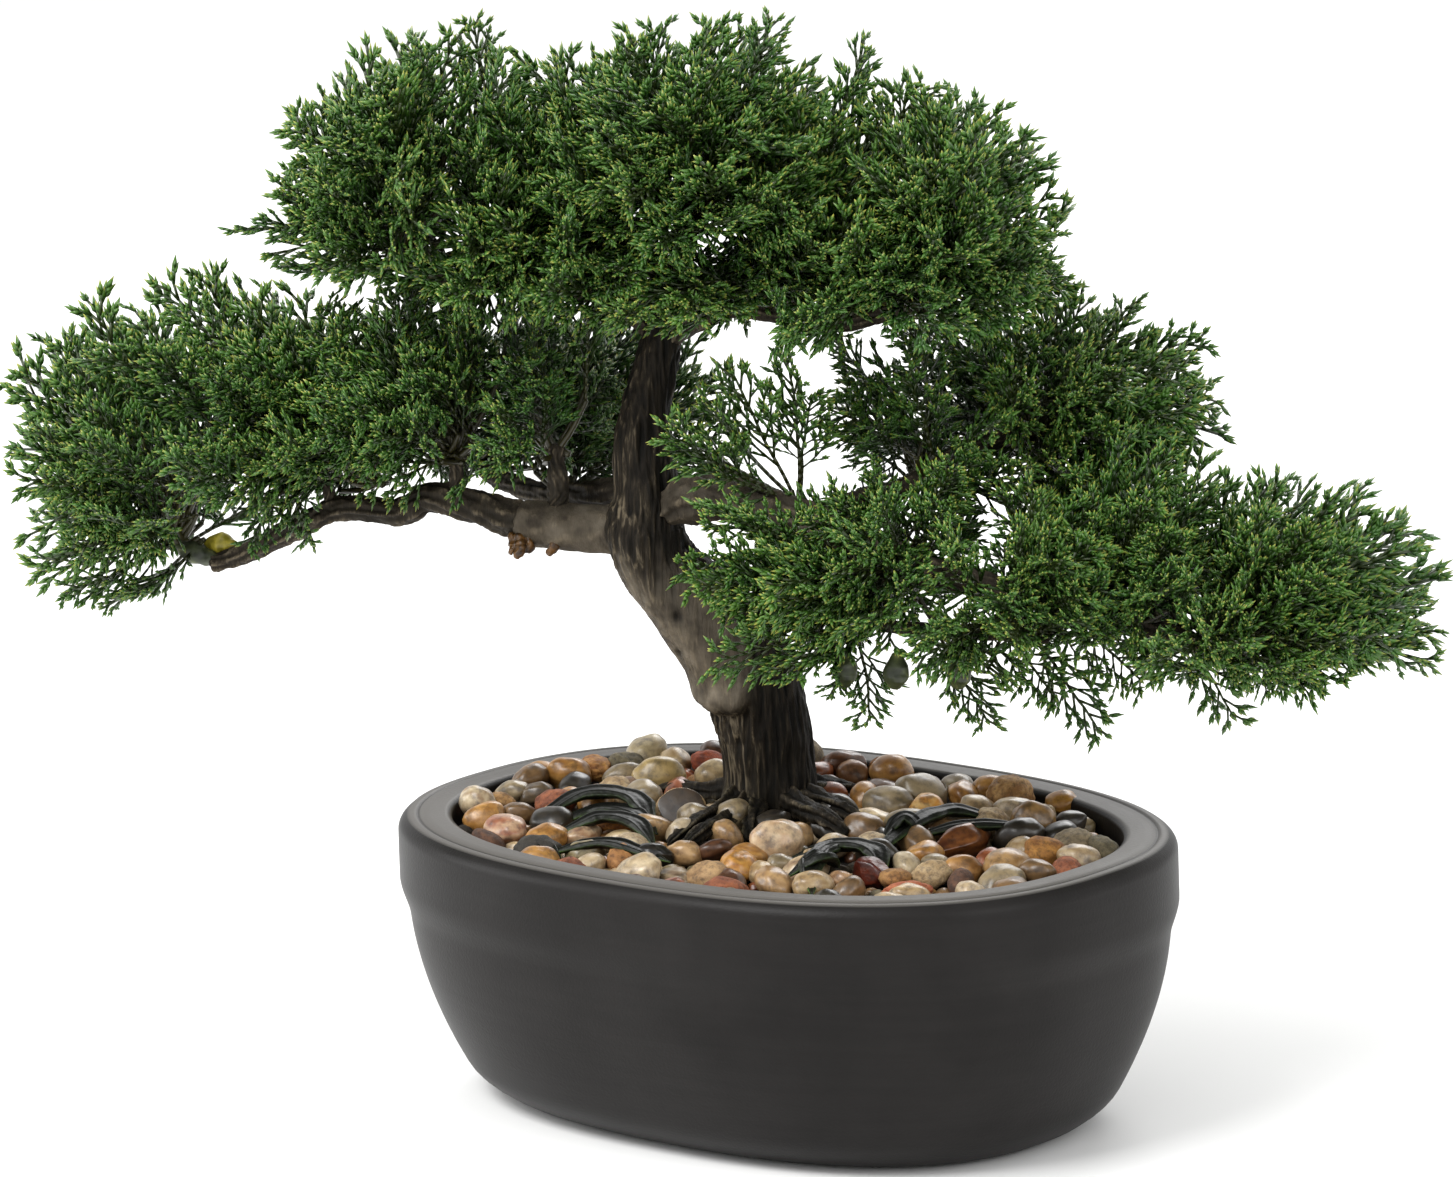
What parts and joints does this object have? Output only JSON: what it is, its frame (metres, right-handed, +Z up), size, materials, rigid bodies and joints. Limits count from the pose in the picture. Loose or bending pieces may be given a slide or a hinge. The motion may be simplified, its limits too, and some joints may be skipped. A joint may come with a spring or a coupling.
{
  "type": "artificial cedar bonsai in an oval pot",
  "caption": "Artificial cedar bonsai with spreading foliage pads on a leaning moulded trunk, in a low oval charcoal pot topped with loose river stones.",
  "frame": {"origin": "middle of the pot's flat underside", "axes": "+X along the pot's long side, +Y across it, +Z up"},
  "size_m": [0.3408, 0.1986, 0.2635],
  "materials": {
    "ceramic": "matt charcoal-black cast ceramic, satin on the shoulder",
    "foam": "rigid dark foam",
    "bark": "moulded and hand-tinted plastic bark",
    "green_plug": "moulded green plastic",
    "cedar_sprays": "moulded cedar sprays, dark green with paler tips",
    "root_strips": "glossy dark green-black plastic",
    "pale_stone": "polished cream river stone",
    "tan_stone": "polished tan and ochre river stone",
    "brown_stone": "polished brown river stone",
    "dark_stone": "polished black and maroon river stone"
  },
  "bodies": {
    "root": {"pot": "ceramic", "planting_block": "foam", "trunk": "bark", "left_sleeve": "bark", "left_branch": "bark", "left_end": "green_plug", "rear_branch": "bark", "right_branch": "bark", "right_rising_branch": "bark", "right_low_branch": "bark", "crown_left_branch": "bark", "crown_right_branch": "bark", "crown_top_branch": "bark", "left_peg": "bark", "middle_peg": "bark", "outer_peg": "bark", "green_plug_1": "green_plug", "green_plug_2": "green_plug", "green_plug_3": "green_plug", "crown_middle_pad": "cedar_sprays", "crown_left_pad": "cedar_sprays", "crown_right_pad": "cedar_sprays", "left_outer_pad": "cedar_sprays", "left_inner_pad": "cedar_sprays", "rear_pad": "cedar_sprays", "right_outer_pad": "cedar_sprays", "right_lower_pad": "cedar_sprays", "right_upper_pad": "cedar_sprays", "front_pad": "cedar_sprays", "root_strip_1": "root_strips", "root_strip_2": "root_strips", "root_strip_3": "root_strips", "root_strip_4": "root_strips", "stone_1": "pale_stone", "stone_2": "brown_stone", "stone_3": "pale_stone", "stone_4": "pale_stone", "stone_5": "pale_stone", "stone_6": "pale_stone", "stone_7": "pale_stone", "stone_8": "pale_stone", "stone_9": "dark_stone", "stone_10": "pale_stone", "stone_11": "tan_stone", "stone_12": "pale_stone", "stone_13": "dark_stone", "stone_14": "dark_stone", "stone_15": "pale_stone", "stone_16": "tan_stone", "stone_17": "brown_stone", "stone_18": "pale_stone", "stone_19": "brown_stone", "stone_20": "dark_stone", "stone_21": "pale_stone", "stone_22": "dark_stone", "stone_23": "pale_stone", "stone_24": "tan_stone", "stone_25": "brown_stone", "stone_26": "tan_stone"}
  },
  "joints": []
}
